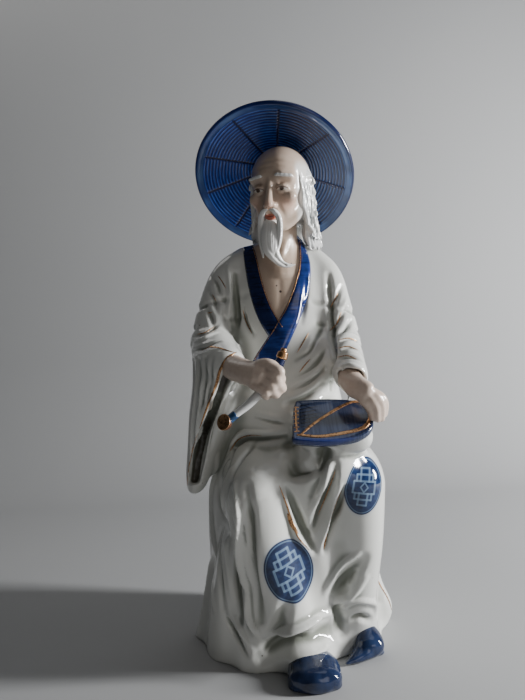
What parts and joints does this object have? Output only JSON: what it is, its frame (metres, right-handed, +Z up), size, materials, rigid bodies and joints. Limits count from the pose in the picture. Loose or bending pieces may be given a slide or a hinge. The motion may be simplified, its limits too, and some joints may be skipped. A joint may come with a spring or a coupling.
{
  "type": "porcelain figurine",
  "caption": "Glazed porcelain figurine of a seated bearded old man in a wide woven hat, holding a pipe and a flat pouch.",
  "frame": {"origin": "middle of the flat underside, below the seated body", "axes": "+Z up through the figure, the figure faces -Y, +X is its left-hand side"},
  "size_m": [0.1176, 0.12, 0.3002],
  "materials": {
    "glazed_porcelain": "glossy clear glaze over white porcelain with blue and gold painting"
  },
  "bodies": {
    "root": {"figurine": "glazed_porcelain"}
  },
  "joints": []
}
